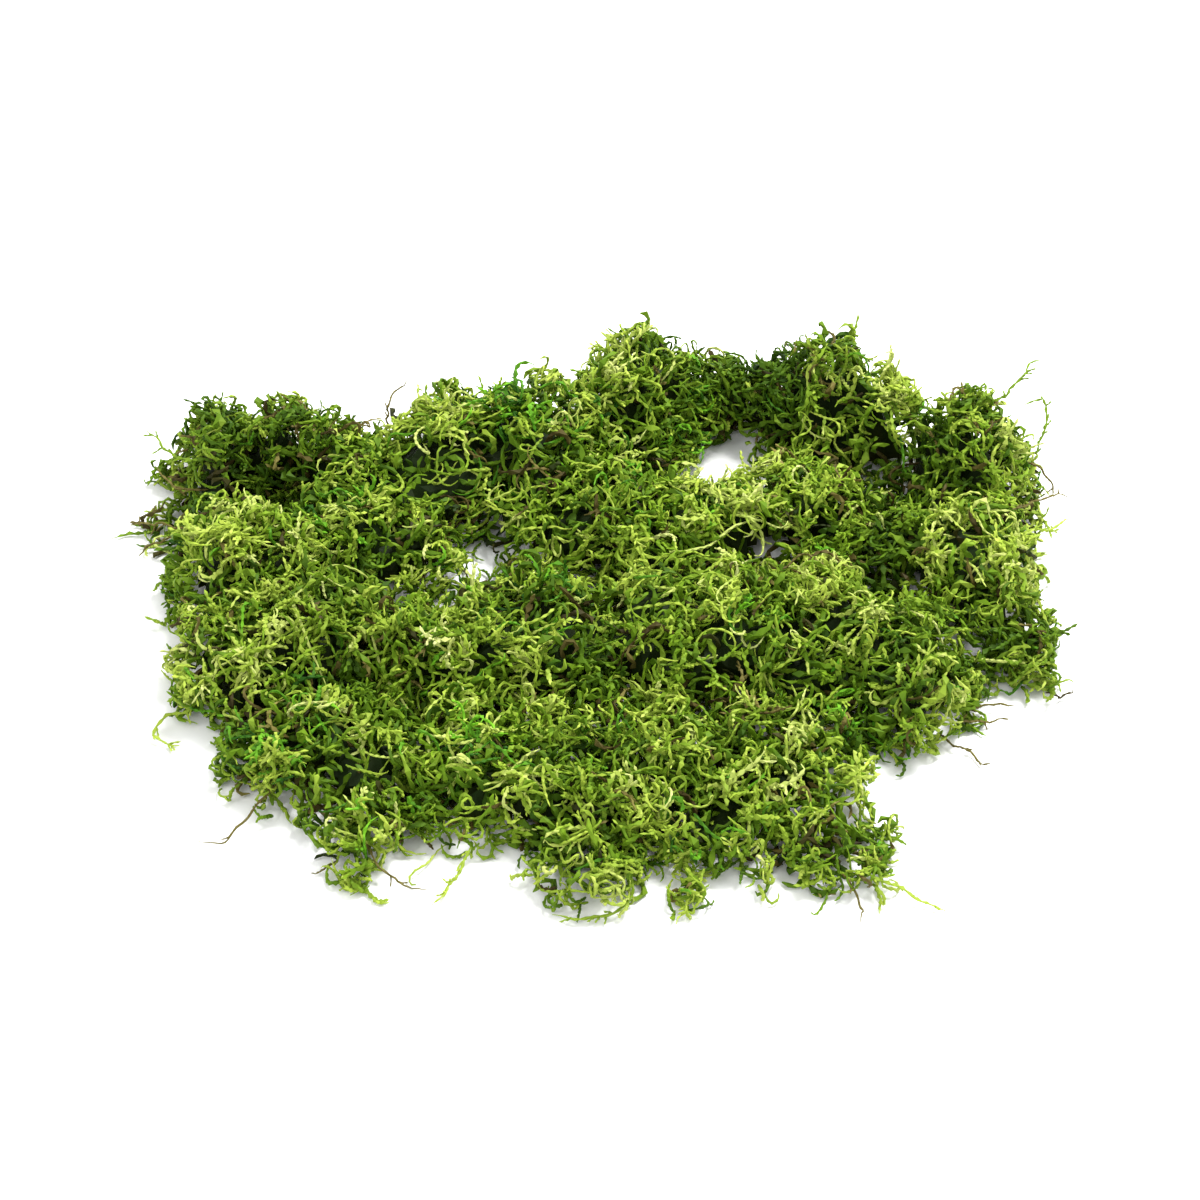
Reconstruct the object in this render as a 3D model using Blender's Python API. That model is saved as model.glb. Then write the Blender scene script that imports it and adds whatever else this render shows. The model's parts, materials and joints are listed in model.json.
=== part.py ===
"""A clump of sheet moss: a flat, lumpy mat of tangled shoots, torn into tufts, with stray shoots round it.

Metres, +Z up. The mat lies flat on the plane z = 0. +X runs along its length and +Y to its high back rim.
The origin is under the middle of its box. Each tuft is a bunch of shoots that pulls out of the mat whole,
and its solid is the space that the bunch fills, out to the tips. Each stray shoot is one bare stem.
"""

import math
from collections import namedtuple

import bmesh
import bpy
from mathutils import Vector, noise

MM = 0.001

# Driving dimensions, in millimetres
GAP = 0.35             # air between neighbouring tufts, and between a stray shoot and its tuft
EDGE_HEIGHT = 4.0      # thickness of a tuft's torn rim
RIM_WOBBLE = 0.11      # how far a torn rim strays from its oval, as a share of the radius
LUMP_HEIGHT = 2.6      # how far the lumps of the top stand above or below its dome
LUMP_LENGTH = 17.0     # distance from one lump to the next
SHOOT_RADIUS = 0.75    # a bare stray shoot at its root
TIP_SHARE = 0.5        # a stray shoot's radius at its tip, as a share of that at its root
STEP = 2.5             # distance between the points along a stray shoot

# Shape of a tuft's dome: a high power makes its top flat, and a low one makes its shoulder round
TOP_POWER = 2.6
SHOULDER_POWER = 0.75
BLEND_POWER = 3.0      # where domes overlap they add up like this power, so the mat has no deep seams

# Mesh of a tuft
SIDES = 22             # points round a tuft
RINGS = (0.45, 0.75, 0.92, 1.0)  # where the rings of a tuft lie, as shares of its radius
SHARP_ANGLE = 50       # edges that bend more than this, in degrees, stay sharp

Tuft = namedtuple("Tuft", "name x y long wide turn height tone")
Shoot = namedtuple("Shoot", "name tone points")

# Centre, half length, half width, turn in degrees and height. The long axis lies along X before it is turned.
TUFTS = (
    # The back rim, which stands highest
    Tuft("tuft_back_left_horn", -117, 53, 15, 24, -6, 33, "olive"),
    Tuft("tuft_back_left", -93, 54, 16, 24, 8, 35, "olive"),
    Tuft("tuft_back_left_saddle", -70, 44, 16, 25, 0, 25, "green"),
    Tuft("tuft_back_centre_left", -46, 53, 18, 31, -8, 31, "green"),
    Tuft("tuft_back_emerald", -18, 58, 20, 28, 0, 32, "emerald"),
    Tuft("tuft_back_peak", 12, 76, 21, 31, -4, 38, "green"),
    Tuft("tuft_back_behind_hole", 39, 88, 17, 14, 0, 26, "olive"),
    Tuft("tuft_back_right", 70, 76, 21, 26, 0, 35, "olive"),
    Tuft("tuft_back_right_shoulder", 88, 66, 16, 24, 10, 31, "green"),
    Tuft("tuft_back_right_saddle", 100, 48, 16, 22, 0, 24, "olive"),
    Tuft("tuft_back_right_horn", 117, 50, 17, 24, 8, 36, "green"),
    # Behind the middle
    Tuft("tuft_left_lime", -111, 8, 20, 25, 0, 26, "lime"),
    Tuft("tuft_left_inner", -82, 12, 21, 26, 0, 23, "green"),
    Tuft("tuft_left_of_hole", -60, 18, 18, 22, 0, 21, "lime"),
    Tuft("tuft_between_holes", -32, -2, 12, 10, 0, 13, "lime"),
    Tuft("tuft_middle_back", -8, 27, 26, 26, 0, 24, "green"),
    Tuft("tuft_before_hole", 24, 17, 22, 25, 0, 25, "lime"),
    Tuft("tuft_right_back", 58, 28, 24, 24, 0, 23, "lime"),
    Tuft("tuft_right_hollow", 88, 20, 19, 26, 0, 20, "olive"),
    Tuft("tuft_right_edge", 113, 8, 18, 25, 0, 25, "lime"),
    # Before the middle
    Tuft("tuft_left_flank", -105, -32, 19, 25, 0, 22, "green"),
    Tuft("tuft_left_front", -80, -28, 22, 26, 0, 24, "olive"),
    Tuft("tuft_middle_left", -50, -30, 21, 23, 0, 24, "green"),
    Tuft("tuft_middle", -16, -27, 25, 27, 0, 25, "green"),
    Tuft("tuft_middle_right", 24, -25, 27, 31, 0, 25, "green"),
    Tuft("tuft_right_inner", 60, -24, 26, 31, 0, 24, "green"),
    Tuft("tuft_right_flank", 91, -38, 20, 32, -16, 22, "emerald"),
    Tuft("tuft_right_lobe", 120, -24, 13, 18, 0, 17, "olive"),
    # The front rim, which is thin
    Tuft("tuft_front_left_lobe", -86, -66, 23, 21, 16, 18, "emerald"),
    Tuft("tuft_front_left", -64, -79, 24, 30, 14, 18, "green"),
    Tuft("tuft_front_centre_left", -33, -76, 22, 33, 0, 18, "lime"),
    Tuft("tuft_front_centre", -2, -85, 24, 39, 0, 18, "green"),
    Tuft("tuft_front_centre_right", 29, -81, 21, 39, 0, 17, "green"),
    Tuft("tuft_front_right", 54, -78, 21, 34, 0, 16, "lime"),
    Tuft("tuft_front_right_corner", 63, -107, 12, 12, 0, 11, "green"),
)

# Points along each shoot, from its root in the mat to its tip
SHOOTS = (
    Shoot("shoot_left_stick", "stem", ((-124, 18, 15), (-132, 18, 14), (-136, 20, 13), (-142, 21, 12))),
    Shoot("shoot_left_bent", "stem", ((-124, 11, 13), (-131, 14, 11), (-136, 14, 9), (-139, 10, 7))),
    Shoot("shoot_left_dark", "stem", ((-124, 32, 16), (-130, 31, 19), (-133, 33, 21), (-136, 36, 23))),
    Shoot("shoot_left_leafy", "olive", ((-122, 38, 22), (-129, 38, 25), (-134, 41, 27), (-138, 45, 29))),
    Shoot("shoot_left_curl", "lime", ((-114, -50, 5), (-123, -54, 4), (-126, -59, 2), (-122, -63, 1),
                                      (-118, -63, 1))),
    Shoot("shoot_front_left_stem", "stem", ((-88, -82, 8), (-95, -92, 6), (-99, -98, 4), (-103, -101, 2),
                                            (-110, -99, 1))),
    Shoot("shoot_front_left_arc", "stem", ((-64, -104, 8), (-60, -112, 5), (-54, -116, 2), (-47, -118, 1))),
    Shoot("shoot_front_fork", "lime", ((-33, -104, 7), (-37, -112, 4), (-41, -118, 2), (-45, -123, 1))),
    Shoot("shoot_front_loop", "green", ((8, -112, 7), (9, -121, 4), (4, -127, 2), (-5, -129, 1.5),
                                        (-13, -127, 1))),
    Shoot("shoot_front_hook", "lime", ((28, -114, 6), (25, -121, 4), (22, -125, 2), (21, -130, 1))),
    Shoot("shoot_front_right_curl", "lime", ((67, -112, 6), (75, -118, 5), (82, -120, 3), (87, -123, 1.5),
                                             (92, -125, 1))),
    Shoot("shoot_front_right_prong", "stem", ((64, -113, 5), (68, -120, 4), (70, -124, 2), (69, -129, 1))),
    Shoot("shoot_bay_back", "stem", ((98, -48, 8), (106, -49, 4), (112, -47, 2), (120, -47, 1))),
    Shoot("shoot_bay_middle", "stem", ((96, -54, 8), (104, -55, 4), (110, -54, 2), (117, -52, 1))),
    Shoot("shoot_bay_front", "stem", ((94, -60, 7), (100, -63, 3), (105, -66, 1), (110, -71, 1))),
    Shoot("shoot_right_long", "lime", ((120, 12, 17), (130, 16, 14), (136, 19, 12), (142, 24, 11))),
    Shoot("shoot_right_tip", "stem", ((126, 20, 19), (133, 25, 18), (138, 29, 17), (143, 30, 15))),
    Shoot("shoot_right_drop", "stem", ((126, 41, 23), (133, 40, 20), (137, 37, 16), (139, 34, 12))),
    Shoot("shoot_right_sprig", "olive", ((125, 56, 26), (131, 60, 27), (137, 61, 28), (138, 56, 25),
                                         (136, 50, 22))),
    Shoot("shoot_right_high_sprig", "olive", ((124, 63, 27), (129, 67, 30), (132, 71, 32), (138, 74, 34))),
    Shoot("shoot_back_stem", "stem", ((-67, 55, 20), (-66, 60, 25), (-64, 64, 28), (-60, 68, 31))),
)

TONES = {
    "green": (0.16, 0.24, 0.02),
    "lime": (0.30, 0.40, 0.04),
    "emerald": (0.04, 0.20, 0.03),
    "olive": (0.10, 0.12, 0.02),
    "stem": (0.09, 0.06, 0.03),
}


def material_for(tone):
    """The dull, matt finish of dried moss in one of its greens."""
    found = bpy.data.materials.get(tone)
    if found:
        return found
    made = bpy.data.materials.new(tone)
    made.use_nodes = True
    shader = made.node_tree.nodes["Principled BSDF"]
    shader.inputs["Base Color"].default_value = (*TONES[tone], 1.0)
    shader.inputs["Roughness"].default_value = 0.75
    return made


def oval_radius(tuft, angle):
    """Distance from a tuft's centre to its oval, in the direction of the angle."""
    inner = angle - math.radians(tuft.turn)
    across = math.hypot(math.cos(inner) / tuft.long, math.sin(inner) / tuft.wide)
    return 1.0 / across


def torn_radius(tuft, angle):
    """The oval with its torn, wavy rim."""
    seed = 0.37 * tuft.x + 0.71 * tuft.y
    wave = 0.6 * math.sin(3 * angle + seed) + 0.4 * math.sin(5 * angle + 2.3 * seed)
    return oval_radius(tuft, angle) * (1 + RIM_WOBBLE * wave)


def borders_of(tuft):
    """(direction, distance) of the straight border with each neighbour, about where their ovals cross."""
    borders = []
    for other in TUFTS:
        if other is tuft:
            continue
        apart = math.hypot(other.x - tuft.x, other.y - tuft.y)
        direction = math.atan2(other.y - tuft.y, other.x - tuft.x)
        own = oval_radius(tuft, direction)
        theirs = oval_radius(other, direction)
        distance = (apart * apart + own * own - theirs * theirs) / (2 * apart)
        borders.append((direction, distance - GAP / 2))
    return borders


def clipped_radius(tuft, angle, borders):
    """The torn rim, cut short at the borders with the neighbours."""
    radius = torn_radius(tuft, angle)
    for direction, distance in borders:
        toward = math.cos(angle - direction)
        if toward > 0:
            radius = min(radius, distance / toward)
    return radius


def dome_height(tuft, x, y):
    """How far a tuft's own dome stands above the thickness of its rim, over a point."""
    angle = math.atan2(y - tuft.y, x - tuft.x)
    reach = oval_radius(tuft, angle) * (1 + RIM_WOBBLE)
    share = min(math.hypot(x - tuft.x, y - tuft.y) / reach, 1.0)
    return (tuft.height - EDGE_HEIGHT) * (1 - share ** TOP_POWER) ** SHOULDER_POWER


def top_height(x, y):
    """Height of the mat over a point, from the domes that reach it and the lumps of the top."""
    domes = sum(dome_height(tuft, x, y) ** BLEND_POWER for tuft in TUFTS) ** (1 / BLEND_POWER)
    lump = noise.noise(Vector((x, y, 0)) / LUMP_LENGTH) * LUMP_HEIGHT
    return EDGE_HEIGHT + domes + lump * min(domes / EDGE_HEIGHT, 1.0)


def add_tuft(tuft):
    """One closed solid: a lumpy dome on a flat bottom, with upright walls where it meets its neighbours."""
    borders = borders_of(tuft)
    mesh = bmesh.new()
    rings = []
    for share in RINGS:
        ring = []
        for side in range(SIDES):
            angle = 2 * math.pi * side / SIDES
            reach = share * clipped_radius(tuft, angle, borders)
            x = tuft.x + reach * math.cos(angle)
            y = tuft.y + reach * math.sin(angle)
            ring.append(mesh.verts.new((x * MM, y * MM, top_height(x, y) * MM)))
        rings.append(ring)
    rings.append([mesh.verts.new((top.co.x, top.co.y, 0.0)) for top in rings[-1]])
    crown = mesh.verts.new((tuft.x * MM, tuft.y * MM, top_height(tuft.x, tuft.y) * MM))
    for side in range(SIDES):
        after = (side + 1) % SIDES
        mesh.faces.new((crown, rings[0][side], rings[0][after]))
        for inner, outer in zip(rings, rings[1:]):
            mesh.faces.new((inner[side], outer[side], outer[after], inner[after]))
    mesh.faces.new(reversed(rings[-1]))
    data = bpy.data.meshes.new(tuft.name)
    mesh.to_mesh(data)
    mesh.free()
    data.shade_smooth()
    data.set_sharp_from_angle(angle=math.radians(SHARP_ANGLE))
    data.materials.append(material_for(tuft.tone))
    made = bpy.data.objects.new(tuft.name, data)
    bpy.context.scene.collection.objects.link(made)
    return made


def smooth_path(points):
    """A smooth curve through the points, with a point about every STEP."""
    known = [Vector(point) for point in points]
    ends = [2 * known[0] - known[1], *known, 2 * known[-1] - known[-2]]
    path = []
    for before, start, end, after in zip(ends, ends[1:], ends[2:], ends[3:]):
        count = max(1, round((end - start).length / STEP))
        for step in range(count):
            t = step / count
            path.append(
                0.5 * (2 * start + (end - before) * t
                       + (2 * before - 5 * start + 4 * end - after) * t * t
                       + (3 * start - before - 3 * end + after) * t ** 3)
            )
    return [*path, known[-1]]


def inside_mat(point):
    """Whether a point of a shoot's line lies in a tuft, or too near to one for the shoot to clear it."""
    clear = SHOOT_RADIUS + GAP
    for tuft in TUFTS:
        away = math.hypot(point.x - tuft.x, point.y - tuft.y)
        angle = math.atan2(point.y - tuft.y, point.x - tuft.x)
        reach = clipped_radius(tuft, angle, borders_of(tuft))
        over = point.z - top_height(point.x, point.y)
        if away < reach + clear and over < 2 * clear:
            return True
    return False


def add_shoot(shoot):
    """A thin tapering stem, from where it comes out of the mat to its tip."""
    path = smooth_path(shoot.points)
    buried = [number for number, point in enumerate(path) if inside_mat(point)]
    path = path[max(buried, default=-1) + 1:]
    curve = bpy.data.curves.new(shoot.name, "CURVE")
    curve.dimensions = "3D"
    curve.bevel_depth = SHOOT_RADIUS * MM
    curve.bevel_resolution = 1
    curve.use_fill_caps = True
    spline = curve.splines.new("POLY")
    spline.points.add(len(path) - 1)
    for number, point in enumerate(path):
        spline.points[number].co = (*(point * MM), 1.0)
        spline.points[number].radius = 1 - (1 - TIP_SHARE) * number / (len(path) - 1)
    curve.materials.append(material_for(shoot.tone))
    made = bpy.data.objects.new(shoot.name, curve)
    bpy.context.scene.collection.objects.link(made)
    return made


def centre(parts):
    """Move the parts together, so that the origin is under the middle of the whole box."""
    bpy.context.view_layer.update()
    for axis in (0, 1):
        reach = [corner[axis] for made in parts for corner in made.bound_box]
        middle = (min(reach) + max(reach)) / 2
        for made in parts:
            made.location[axis] -= middle


def main():
    for old in list(bpy.data.objects):
        bpy.data.objects.remove(old)
    tufts = [add_tuft(tuft) for tuft in TUFTS]
    shoots = [add_shoot(shoot) for shoot in SHOOTS]
    centre(tufts + shoots)


main()
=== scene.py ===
# %% [markdown]
# # A clump of sheet moss
# Sheet moss is a creeping moss that is peeled off logs and soil in mats and dried. A clump of it is
# thousands of leafy shoots, 1 to 2 mm wide, that grew over and under each other until they held together
# without glue. The model gives the clump as tufts, each a plain solid that reaches to its shoots' tips. Here
# every tuft is grown again as real shoots inside that space, with old brown growth below and fresh green
# growth on top.

# %% The frame
import json
import math

import bpy
import numpy as np
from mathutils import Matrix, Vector
from mathutils.bvhtree import BVHTree


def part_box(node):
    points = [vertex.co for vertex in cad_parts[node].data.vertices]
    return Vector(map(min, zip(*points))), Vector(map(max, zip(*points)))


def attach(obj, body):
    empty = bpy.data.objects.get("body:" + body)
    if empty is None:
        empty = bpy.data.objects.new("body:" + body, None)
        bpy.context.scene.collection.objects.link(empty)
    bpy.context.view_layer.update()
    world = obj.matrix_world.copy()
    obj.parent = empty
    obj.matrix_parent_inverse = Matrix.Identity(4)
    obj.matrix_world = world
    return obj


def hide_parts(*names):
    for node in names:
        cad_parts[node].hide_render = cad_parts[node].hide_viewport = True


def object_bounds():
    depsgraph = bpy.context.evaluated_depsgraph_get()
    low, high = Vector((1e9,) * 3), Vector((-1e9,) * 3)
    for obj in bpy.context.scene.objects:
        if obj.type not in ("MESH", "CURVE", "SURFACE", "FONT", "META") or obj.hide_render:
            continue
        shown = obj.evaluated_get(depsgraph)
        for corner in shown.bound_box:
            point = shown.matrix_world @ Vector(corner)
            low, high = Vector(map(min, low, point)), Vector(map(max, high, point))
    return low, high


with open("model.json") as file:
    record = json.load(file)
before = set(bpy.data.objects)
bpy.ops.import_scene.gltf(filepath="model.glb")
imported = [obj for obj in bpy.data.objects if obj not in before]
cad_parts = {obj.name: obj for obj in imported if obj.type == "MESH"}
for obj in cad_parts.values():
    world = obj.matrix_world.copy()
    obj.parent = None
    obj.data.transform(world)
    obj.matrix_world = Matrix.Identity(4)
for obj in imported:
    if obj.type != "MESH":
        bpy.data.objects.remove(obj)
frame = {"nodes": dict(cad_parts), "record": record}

MM = 0.001
cad_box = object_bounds()
box_low, box_high = (np.array(corner) / MM for corner in cad_box)
slot_of = {part["node"]: part["material_slot"] for part in frame["record"]["subparts"]}
tufts = sorted(name for name in frame["nodes"] if name.startswith("tuft_"))
strays = sorted(name for name in frame["nodes"] if name.startswith("shoot_"))
print(f"{len(tufts)} tufts, {len(strays)} stray shoots, {np.round(box_high - box_low)} mm")

# %% [markdown]
# ## Seeing it as a product shot
# The clump lies on a white table. A long lens from 42 degrees above keeps its front and back rim nearly the
# same scale. Three things light it: a large soft box behind and to the right, which draws the shoots' edges
# and leaves the fronts of the high back tufts dark, a weak fill from the left, and the white room all round.

# %% Camera
LOOK_AT = Vector((-0.0005, 0.012, 0.0))
VIEW_HEIGHT = math.radians(42)
VIEW_DISTANCE = 0.85    # m
LENS = 85               # mm
SENSOR = 36             # mm


def add_camera():
    """A camera in front of the clump that looks down on it."""
    lens = bpy.data.cameras.new("view")
    lens.lens = LENS
    lens.sensor_width = SENSOR
    lens.clip_start = 0.05
    camera = bpy.data.objects.new("view", lens)
    back = Vector((0, -math.cos(VIEW_HEIGHT), math.sin(VIEW_HEIGHT)))
    camera.location = LOOK_AT + back * VIEW_DISTANCE
    camera.rotation_euler = (math.pi / 2 - VIEW_HEIGHT, 0, 0)
    bpy.context.scene.collection.objects.link(camera)
    bpy.context.scene.camera = camera


add_camera()
print(f"a {LENS} mm lens, {VIEW_DISTANCE} m away, {math.degrees(VIEW_HEIGHT):.0f} degrees up")


# %% Light
def add_soft_box(name, place, size, power):
    """A square soft box that faces the clump, with its place and size in metres and its power in watts."""
    light = bpy.data.lights.new(name, "AREA")
    light.size = size
    light.energy = power
    lamp = bpy.data.objects.new(name, light)
    lamp.location = place
    lamp.rotation_euler = (-Vector(place)).to_track_quat("-Z", "Y").to_euler()
    bpy.context.scene.collection.objects.link(lamp)


def add_room(strength):
    """A white room, which sends soft light from everywhere."""
    room = bpy.data.worlds.new("white_room")
    room.use_nodes = True
    sky = room.node_tree.nodes["Background"]
    sky.inputs["Color"].default_value = (1, 1, 1, 1)
    sky.inputs["Strength"].default_value = strength
    bpy.context.scene.world = room


add_soft_box("key_soft_box", place=(0.45, 0.50, 1.10), size=0.45, power=26)
add_soft_box("fill_soft_box", place=(-0.9, -0.5, 0.9), size=0.8, power=5)
add_room(strength=1.08)
bpy.context.scene.view_settings.view_transform = "Standard"
print("lights:", [light.name for light in bpy.data.lights])


# %% [markdown]
# ## Colours
# Each colour is written as the sRGB hex value that a colour picker shows. Blender mixes light in linear
# numbers, so one function turns a hex value into those.

# %% Colour and node helpers
def linear(hex_colour):
    """Linear RGBA of an sRGB hex value such as "7d9422"."""
    channels = [int(hex_colour[start:start + 2], 16) / 255 for start in (0, 2, 4)]
    return (*(c / 12.92 if c <= 0.04045 else ((c + 0.055) / 1.055) ** 2.4 for c in channels), 1.0)


def add_node(tree, kind, links=(), **settings):
    """A node with its settings; links are (output socket, input name or number) pairs."""
    node = tree.nodes.new(kind)
    for name, value in settings.items():
        setattr(node, name, value)
    for source, target in links:
        tree.links.new(source, node.inputs[target])
    return node


def set_ramp(node, stops):
    """Give a colour ramp its (position, hex colour) stops."""
    ramp = node.color_ramp
    while len(ramp.elements) < len(stops):
        ramp.elements.new(0.5)
    for element, (position, colour) in zip(ramp.elements, stops):
        element.position = position
        element.color = linear(colour)


# %% [markdown]
# ## The white table
# A plain sheet of matt white card. It is wide enough to fill the view, so there is no horizon.

# %% Table
TABLE_EDGE = 3         # m from the middle of the table to its edge
TABLE_DROP = 0.0002    # m, just enough that nothing flickers where the clump rests on it


def add_table():
    """One square of matt white card: it scatters light evenly, so it shows shadows and no gloss."""
    mesh = bpy.data.meshes.new("table")
    corners = [(x * TABLE_EDGE, y * TABLE_EDGE, 0) for x, y in ((-1, -1), (1, -1), (1, 1), (-1, 1))]
    mesh.from_pydata(corners, [], [(0, 1, 2, 3)])
    card = bpy.data.materials.new("matt_white_card")
    card.use_nodes = True
    shader = card.node_tree.nodes["Principled BSDF"]
    shader.inputs["Base Color"].default_value = linear("f4f4f4")
    shader.inputs["Roughness"].default_value = 0.9
    mesh.materials.append(card)
    table = bpy.data.objects.new("table", mesh)
    table.location.z = -TABLE_DROP
    bpy.context.scene.collection.objects.link(table)


add_table()
print(f"a white table {2 * TABLE_EDGE} m wide")

# %% [markdown]
# ## The surface of the mat
# The shoots must follow the mat's top and stop at its rim, so its height is read once from the tufts: a ray
# falls on them at every millimetre. The narrow gaps between tufts are closed, because real tufts are felted
# together, while the wide holes through which the table shows stay open.
#
# The result is a set of fields: grids with one number for each square millimetre of the table. Fields are
# easy to blur, widen and mix, and every shoot can look up where it is in all of them.

# %% Height of the mat
CELL = 1.0       # mm between the rays
MARGIN = 14.0    # mm of empty table round the mat
grid_low = box_low[:2] - MARGIN
grid_size = np.ceil((box_high[:2] - box_low[:2] + 2 * MARGIN) / CELL).astype(int) + 1


def read_heights():
    """(height in mm, number of the tuft) over each grid point, 0 and -1 where there is only table."""
    height = np.zeros(grid_size)
    owner = np.full(grid_size, -1)
    for number, name in enumerate(tufts):
        mesh = frame["nodes"][name].data
        tree = BVHTree.FromPolygons([v.co for v in mesh.vertices], [p.vertices for p in mesh.polygons])
        low, high = (np.array(corner)[:2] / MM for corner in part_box(name))
        first = np.floor((low - grid_low) / CELL).astype(int)
        last = np.ceil((high - grid_low) / CELL).astype(int) + 1
        for column in range(first[0], last[0]):
            for row in range(first[1], last[1]):
                x, y = grid_low + CELL * np.array((column, row))
                hit = tree.ray_cast(Vector((x * MM, y * MM, 1)), Vector((0, 0, -1)))[0]
                if hit is not None:
                    height[column, row] = hit.z / MM
                    owner[column, row] = number
    return height, owner


solid_height, owner = read_heights()
print(f"tallest point {solid_height.max():.1f} mm, {np.mean(owner >= 0):.0%} of the grid is moss")


# %% Widening, closing and blurring a field
def widened(field, reach, fall=0.0):
    """Each point's highest neighbour within reach (mm), less fall for each mm of distance."""
    best = field.copy()
    cells = int(reach / CELL)
    for dx in range(-cells, cells + 1):
        for dy in range(-cells, cells + 1):
            away = CELL * math.hypot(dx, dy)
            if away <= reach:
                best = np.maximum(best, np.roll(field, (dx, dy), (0, 1)) - fall * away)
    return best


def closed(field, reach):
    """The field with its gaps narrower than twice reach filled in."""
    return -widened(-widened(field, reach), reach)


def blurred(field, reach, times=3):
    """The field averaged over a square of that half width several times, which is nearly a soft blur."""
    cells = max(1, int(reach / CELL))
    for _ in range(times):
        for axis in (0, 1):
            shifts = range(-cells, cells + 1)
            field = sum(np.roll(field, shift, axis) for shift in shifts) / (2 * cells + 1)
    return field


def fill_owners(owner, rounds):
    """Points with no tuft take that of a neighbour, so that each gap goes to a tuft beside it."""
    for _ in range(rounds):
        for shift, axis in ((1, 0), (-1, 0), (1, 1), (-1, 1)):
            owner = np.where(owner < 0, np.roll(owner, shift, axis), owner)
    return owner


# %% Lumps and bumps
rng = np.random.default_rng(71)    # one source of chance, so that every run grows the same moss
grid_lines = (grid_low[axis] + CELL * np.arange(grid_size[axis]) for axis in (0, 1))
grid_x, grid_y = np.meshgrid(*grid_lines, indexing="ij")


def lumps(reach):
    """A field of soft random lumps about three times that wide, with a standard deviation of 1."""
    field = blurred(rng.normal(size=grid_size), reach, 2)
    return field / field.std()


def bump(x, y, radius):
    """1 at a point and 0.4 at the radius, falling smoothly to nothing."""
    return np.exp(-0.9 * ((grid_x - x) ** 2 + (grid_y - y) ** 2) / radius ** 2)


# %% [markdown]
# ## A torn rim
# The rim of a torn mat is ragged: low tongues of moss reach out of it and bays bite into it. They could all
# come by chance, but then no run of chance would give this clump's outline. So the larger ones are placed, as
# (x, y, radius) in millimetres, and only the small tears are left to chance. The mat is also thin at its rim,
# so its height is kept under a slope that starts there, or the rim would stand on the table like a wall.

# %% Tongues and bays
TONGUES = (
    (-135, 45, 5), (-137, 67, 5), (-132, 32, 5), (-90, -76, 5), (-68, -99, 6), (-46, -104, 5),
    (-8, -107, 8), (2, -109, 5), (22, -110, 5), (42, -102, 6), (130, -31, 4), (134, 84, 5),
    (112, -37, 3), (66, -94, 8), (75, -88, 7), (72, -102, 6), (31, 82, 5),
)
BAYS = (
    (88, -62, 6), (97, -54, 5), (-25, -94, 7), (-39, -97, 5), (29, -106, 4), (-108, -52, 5),
    (-103, -72, 5), (112, -30, 5), (138, -16, 4), (134, 22, 4), (92, 102, 5), (102, 91, 5),
    (-85, 81, 6), (-131, 7, 5), (-87, -84, 4),
)
TONGUE_SHARE = 1.1     # how strongly a tongue adds to the soft edge of the mat
BAY_SHARE = 0.9        # how strongly a bay takes from it
RIM_TEAR = 0.12        # how strongly chance changes it
EDGE_LEVEL = 0.46      # there is moss where the soft edge is over this level
TONGUE_HEIGHT = 7.0    # mm

solid_here = blurred(closed((owner >= 0).astype(float), reach=2.5), 2)
tongues, bays = (np.max([bump(*place) for place in places], axis=0) for places in (TONGUES, BAYS))
soft_edge = np.maximum(solid_here, TONGUE_SHARE * tongues) - BAY_SHARE * bays + RIM_TEAR * lumps(2)
moss_here = soft_edge > EDGE_LEVEL
owner = fill_owners(owner, rounds=16)
mat_height = closed(widened(solid_height, 3, fall=1.0), reach=5.0)
mat_height = np.where(moss_here, np.maximum(mat_height, TONGUE_HEIGHT * tongues), 0.0)
print(f"{moss_here.sum() * CELL ** 2 / 100:.0f} square centimetres of moss")

# %% The slope of the rim
RIM_HEIGHT = 3.5    # mm, the mat's height at its very rim
RIM_SLOPE = 2.4     # mm that it may rise for each mm from there
RIM_REACH = 16      # mm, how far inward the distance from the rim is known
FAR = 99.0          # mm, more than any distance from the rim

rim_distance = -widened(np.where(moss_here, -FAR, 0.0), RIM_REACH, fall=1.0)
mat_height = np.where(moss_here, np.minimum(mat_height, RIM_HEIGHT + RIM_SLOPE * rim_distance), 0.0)
print(f"half of the mat is over {np.median(mat_height[moss_here]):.1f} mm high")

# %% [markdown]
# ## Hollows, mounds and thin spots
# A torn mat is not even. Shoots stand in bunches a centimetre or so across with dips between them, some
# hollows go deep into the dark old growth, a few bunches stand up as mounds, and in a few places shoots have
# been pulled out and the table shows through. The dips come from two sizes of random lumps. The rest is
# placed: a thin spot is (x, y, radius) and a hollow or mound is (x, y, radius, depth or height), in mm.

# %% Where they are
THIN_SPOTS = (
    (-46, 9, 5), (-35, 35, 6), (-27, 30, 5), (25, 68, 5), (87, 65, 5), (57, 29, 5), (107, -11, 5),
    (61, -95, 5), (-41, -97, 5), (-84, -72, 4), (-60, -104, 4),
)
HOLLOWS = (
    (-102, 48, 11, 10), (-94, 53, 7, 7), (96, 51, 10, 9), (86, 13, 9, 7), (-7, -69, 6, 7), (79, -54, 8, 5),
    (36, -38, 8, 6), (112, 58, 7, 4), (-114, 62, 6, 4), (-40, 40, 7, 4), (-3, -29, 6, 4), (-63, -31, 6, 4),
    (-110, 70, 5, 12), (-46, -2, 8, 13), (-32, 20, 9, 16), (86, 54, 6, 12), (56, 17, 8, 13),
    (103, -23, 6, 10),
)
MOUNDS = (
    (49, 90, 9, 7), (63, 98, 8, 5), (13, 105, 7, 6), (-3, 98, 5, 4), (118, 84, 8, 3), (-122, 66, 7, 3),
)
print(f"{len(THIN_SPOTS)} thin spots, {len(HOLLOWS)} hollows, {len(MOUNDS)} mounds")

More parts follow.
